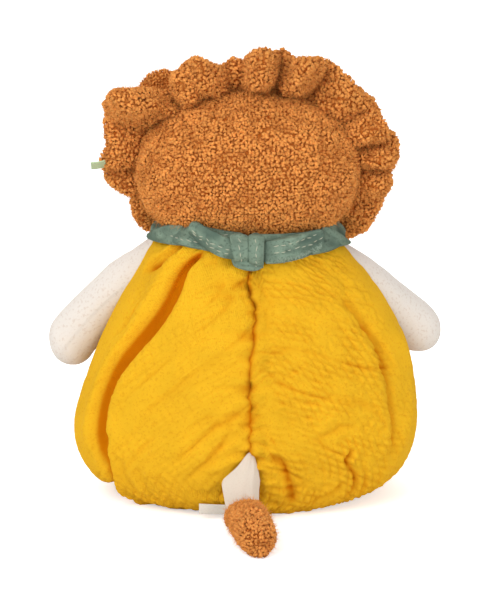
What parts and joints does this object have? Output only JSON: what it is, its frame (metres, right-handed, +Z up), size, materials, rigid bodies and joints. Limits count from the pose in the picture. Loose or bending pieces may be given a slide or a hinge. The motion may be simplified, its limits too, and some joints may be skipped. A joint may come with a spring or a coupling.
{
  "type": "plush lion",
  "caption": "Seated plush lion with a gathered boucle mane, a bubble romper, a knotted neck scarf, stuffed limbs that lift and a tufted tail.",
  "frame": {"origin": "middle of the flat underside of the seat, on the floor", "axes": "+Z up; the lion faces -Y, its back is towards +Y and its left hand is on +X"},
  "size_m": [0.2649, 0.2813, 0.2997],
  "materials": {
    "boucle": "curly teddy boucle",
    "jersey": "flecked cotton jersey",
    "gauze": "crinkled double gauze",
    "scarf": "double gauze with running stitches",
    "tail_cotton": "plain cotton",
    "thread": "embroidery thread",
    "ribbon": "woven ribbon, bare",
    "label": "woven tape, bare",
    "fibre": "polyester fibre filling",
    "pellets": "cotton bag of plastic pellets"
  },
  "bodies": {
    "torso": {"torso_skin": "jersey", "torso_filling": "fibre", "pellet_bag": "pellets", "romper_back_left": "gauze", "romper_back_right": "gauze", "romper_front": "gauze", "romper_seat": "gauze", "scarf_band": "scarf", "scarf_knot": "scarf", "scarf_end_left": "scarf", "scarf_end_right": "scarf", "scarf_bib": "scarf", "care_label": "label"},
    "head": {"head_back": "boucle", "face_panel": "jersey", "head_filling": "fibre", "mane_ruffle": "boucle", "ear_left": "boucle", "ear_right": "boucle", "ear_lining_left": "jersey", "ear_lining_right": "jersey", "muzzle": "jersey", "nose": "thread", "eye_left": "thread", "eye_right": "thread", "ribbon_tab": "ribbon"},
    "left_arm": {"arm_left": "jersey", "arm_left_filling": "fibre"},
    "right_arm": {"arm_right": "jersey", "arm_right_filling": "fibre"},
    "left_leg": {"leg_left": "jersey", "leg_left_filling": "fibre"},
    "right_leg": {"leg_right": "jersey", "leg_right_filling": "fibre"},
    "tail": {"tail_strip": "tail_cotton"},
    "tuft": {"tail_tuft": "boucle"}
  },
  "joints": [
    {"name": "head_nod", "type": "hinge", "parent": "torso", "child": "head", "pos_m": [0, 0, 0.22], "axis": [1, 0, 0], "range_deg": [-8, 8], "stiffness_Nm_per_rad": 0.5},
    {"name": "left_arm_lift", "type": "hinge", "parent": "torso", "child": "left_arm", "pos_m": [0.06404, -0.014, 0.15113], "axis": [0, -1, 0], "range_deg": [0, 50]},
    {"name": "right_arm_lift", "type": "hinge", "parent": "torso", "child": "right_arm", "pos_m": [-0.06404, -0.014, 0.15113], "axis": [0, 1, 0], "range_deg": [0, 50]},
    {"name": "left_leg_lift", "type": "hinge", "parent": "torso", "child": "left_leg", "pos_m": [0.042, -0.0587, 0.0145], "axis": [-1, 0, 0], "range_deg": [0, 25]},
    {"name": "right_leg_lift", "type": "hinge", "parent": "torso", "child": "right_leg", "pos_m": [-0.042, -0.0587, 0.0145], "axis": [-1, 0, 0], "range_deg": [0, 25]},
    {"name": "tail_lift", "type": "hinge", "parent": "torso", "child": "tail", "pos_m": [-0.003, 0.07108, 0.044], "axis": [1, 0, 0], "range_deg": [0, 45]},
    {"name": "tuft_sway", "type": "hinge", "parent": "tail", "child": "tuft", "pos_m": [-0.00001, 0.09813, 0.0085], "axis": [0, 0, 1], "range_deg": [-25, 25]}
  ]
}
